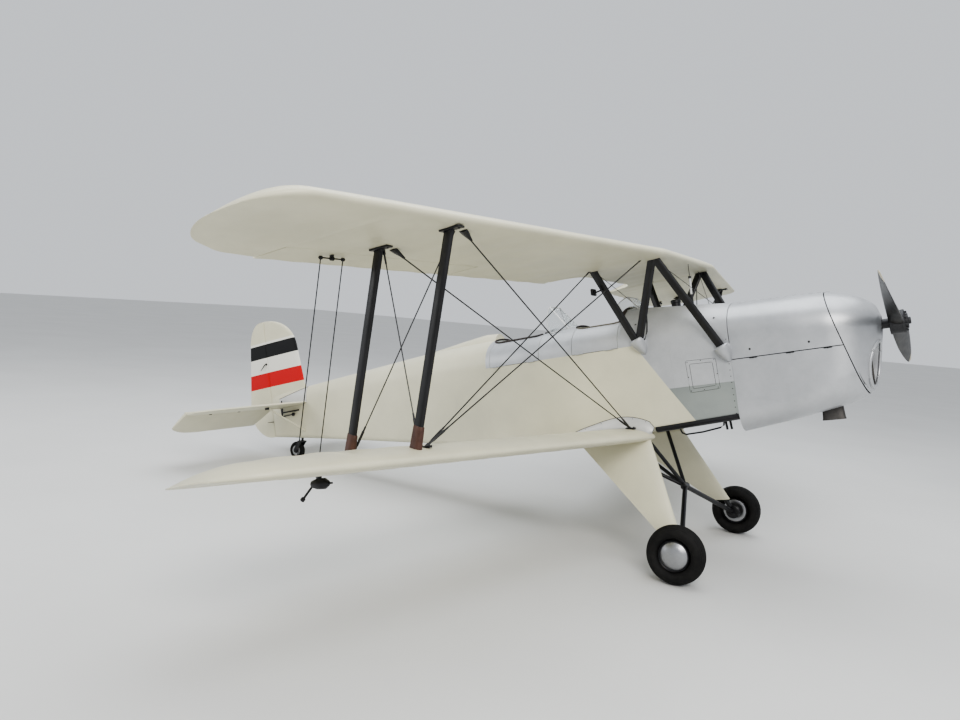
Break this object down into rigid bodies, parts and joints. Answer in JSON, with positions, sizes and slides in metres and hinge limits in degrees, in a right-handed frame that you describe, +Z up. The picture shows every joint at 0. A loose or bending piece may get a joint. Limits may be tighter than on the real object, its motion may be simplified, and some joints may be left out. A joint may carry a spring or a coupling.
{
  "type": "biplane",
  "caption": "Tandem open-cockpit training biplane with swept wings, wire and strut bracing, fixed main gear and a castoring tail wheel.",
  "frame": {"origin": "on the ground, under the middle of the bounding box", "axes": "+X to the nose, +Y to the port wing tip, +Z up, with the aircraft parked tail-down at 13.6 degrees"},
  "size_m": [6.49, 7.594, 2.336],
  "materials": {
    "silver_paint": "satin silver",
    "cream_fabric": "doped and painted, satin",
    "black_paint": "gloss",
    "engine_iron": "dull",
    "propeller_wood": "dark lacquer",
    "seat_alloy": "painted",
    "clear_screen": "clear",
    "bracing_steel": "satin",
    "tyre_rubber": "matte",
    "hub_alloy": "polished"
  },
  "bodies": {
    "airframe": {"forward_fuselage": "silver_paint", "cockpit_tub": "silver_paint", "rear_fuselage": "cream_fabric", "engine_block": "engine_iron", "nose_bowl": "silver_paint", "lower_cowl": "silver_paint", "exhaust_stub": "engine_iron", "fin": "cream_fabric", "seat_front": "seat_alloy", "seat_rear": "seat_alloy", "windscreen_front": "clear_screen", "windscreen_rear": "clear_screen", "centre_section": "cream_fabric", "axle_frame": "black_paint", "upper_wing_l": "cream_fabric", "upper_wing_r": "cream_fabric", "lower_wing_l": "cream_fabric", "lower_wing_r": "cream_fabric", "cabane_l": "black_paint", "cabane_r": "black_paint", "strut_front_l": "black_paint", "strut_front_r": "black_paint", "strut_rear_l": "black_paint", "strut_rear_r": "black_paint", "flying_wires_l": "bracing_steel", "flying_wires_r": "bracing_steel", "landing_wires_l": "bracing_steel", "landing_wires_r": "bracing_steel", "tailplane_l": "cream_fabric", "tailplane_r": "cream_fabric", "tail_strut_l": "black_paint", "tail_strut_r": "black_paint", "gear_leg_l": "cream_fabric", "gear_leg_r": "cream_fabric"},
    "propeller": {"propeller": "propeller_wood"},
    "cowl_door_l": {"cowl_door_l": "silver_paint"},
    "cowl_door_r": {"cowl_door_r": "silver_paint"},
    "door_front_l": {"door_front_l": "silver_paint"},
    "door_front_r": {"door_front_r": "silver_paint"},
    "door_rear_l": {"door_rear_l": "silver_paint"},
    "door_rear_r": {"door_rear_r": "silver_paint"},
    "aileron_upper_l": {"aileron_upper_l": "cream_fabric"},
    "aileron_upper_r": {"aileron_upper_r": "cream_fabric"},
    "aileron_lower_l": {"aileron_lower_l": "cream_fabric"},
    "aileron_lower_r": {"aileron_lower_r": "cream_fabric"},
    "aileron_link_l": {"aileron_link_l": "black_paint"},
    "aileron_link_r": {"aileron_link_r": "black_paint"},
    "elevator": {"elevator": "cream_fabric"},
    "rudder": {"rudder": "cream_fabric"},
    "wheel_l": {"tyre_l": "tyre_rubber", "wheel_l": "hub_alloy"},
    "wheel_r": {"tyre_r": "tyre_rubber", "wheel_r": "hub_alloy"},
    "tail_fork": {"tail_fork": "black_paint"},
    "tail_wheel": {"tail_wheel": "tyre_rubber"}
  },
  "joints": [
    {"name": "propeller_spin", "type": "hinge", "parent": "airframe", "child": "propeller", "pos_m": [3.15974, 0, 1.91946], "axis": [0.972, 0, 0.2351], "continuous": true},
    {"name": "cowl_door_l_hinge", "type": "hinge", "parent": "airframe", "child": "cowl_door_l", "pos_m": [2.05281, 0.03, 1.98707], "axis": [0.9831, 0, 0.1828], "range_deg": [0, 80]},
    {"name": "cowl_door_r_hinge", "type": "hinge", "parent": "airframe", "child": "cowl_door_r", "pos_m": [2.05281, -0.03, 1.98707], "axis": [-0.9831, 0, -0.1828], "range_deg": [0, 80]},
    {"name": "door_front_l_hinge", "type": "hinge", "parent": "airframe", "child": "door_front_l", "pos_m": [1.09213, 0.38, 1.51391], "axis": [-0.972, 0, -0.2351], "range_deg": [0, 150]},
    {"name": "door_front_r_hinge", "type": "hinge", "parent": "airframe", "child": "door_front_r", "pos_m": [1.09213, -0.38, 1.51391], "axis": [0.972, 0, 0.2351], "range_deg": [0, 150]},
    {"name": "door_rear_l_hinge", "type": "hinge", "parent": "airframe", "child": "door_rear_l", "pos_m": [0.36559, 0.37249, 1.33814], "axis": [-0.9711, -0.0423, -0.2349], "range_deg": [0, 150]},
    {"name": "door_rear_r_hinge", "type": "hinge", "parent": "airframe", "child": "door_rear_r", "pos_m": [0.36559, -0.37249, 1.33814], "axis": [0.9711, -0.0423, 0.2349], "range_deg": [0, 150]},
    {"name": "aileron_upper_r_hinge", "type": "hinge", "parent": "airframe", "child": "aileron_upper_r", "pos_m": [0.62333, -2.43, 2.07303], "axis": [0.1776, 0.9839, 0.0197], "range_deg": [-18, 18]},
    {"name": "aileron_upper_l_hinge", "type": "hinge", "parent": "airframe", "child": "aileron_upper_l", "pos_m": [0.62333, 2.43, 2.07303], "axis": [-0.1776, 0.9839, -0.0197], "range_deg": [-18, 18]},
    {"name": "aileron_lower_r_hinge", "type": "hinge", "parent": "airframe", "child": "aileron_lower_r", "pos_m": [0.53141, -2.43, 0.78503], "axis": [0.1776, 0.9838, -0.0241], "range_deg": [-18, 18]},
    {"name": "aileron_lower_l_hinge", "type": "hinge", "parent": "airframe", "child": "aileron_lower_l", "pos_m": [0.53141, 2.43, 0.78503], "axis": [-0.1776, 0.9838, 0.0241], "range_deg": [-18, 18]},
    {"name": "aileron_link_r_pin", "type": "hinge", "parent": "aileron_upper_r", "child": "aileron_link_r", "pos_m": [0.51011, -2.805, 2.00659], "axis": [0.1776, 0.9839, 0.0197], "range_deg": [-20, 20]},
    {"name": "aileron_link_l_pin", "type": "hinge", "parent": "aileron_upper_l", "child": "aileron_link_l", "pos_m": [0.51011, 2.805, 2.00659], "axis": [-0.1776, 0.9839, -0.0197], "range_deg": [-20, 20]},
    {"name": "elevator_hinge", "type": "hinge", "parent": "airframe", "child": "elevator", "pos_m": [-2.61457, 0, 0.5688], "axis": [0, 1, 0], "range_deg": [0, 56]},
    {"name": "rudder_hinge", "type": "hinge", "parent": "airframe", "child": "rudder", "pos_m": [-2.9078, 0, 0.76022], "axis": [-0.2351, 0, 0.972], "range_deg": [-28, 28]},
    {"name": "wheel_l_spin", "type": "hinge", "parent": "airframe", "child": "wheel_l", "pos_m": [2.031, 0.85, 0.206], "axis": [0, 1, 0], "continuous": true},
    {"name": "wheel_r_spin", "type": "hinge", "parent": "airframe", "child": "wheel_r", "pos_m": [2.031, -0.85, 0.206], "axis": [0, 1, 0], "continuous": true},
    {"name": "tail_fork_swivel", "type": "hinge", "parent": "airframe", "child": "tail_fork", "pos_m": [-2.369, 0, 0.23], "axis": [0, 0, 1], "range_deg": [-30, 30]},
    {"name": "tail_wheel_spin", "type": "hinge", "parent": "tail_fork", "child": "tail_wheel", "pos_m": [-2.434, 0, 0.095], "axis": [0, 1, 0], "continuous": true}
  ],
  "couplings": [
    {"joint": "aileron_upper_l_hinge", "follows": "aileron_upper_r_hinge", "ratio": -1},
    {"joint": "aileron_lower_r_hinge", "follows": "aileron_upper_r_hinge", "ratio": 1},
    {"joint": "aileron_lower_l_hinge", "follows": "aileron_upper_r_hinge", "ratio": -1},
    {"joint": "aileron_link_r_pin", "follows": "aileron_upper_r_hinge", "ratio": -1.07},
    {"joint": "aileron_link_l_pin", "follows": "aileron_upper_r_hinge", "ratio": 1.07}
  ]
}
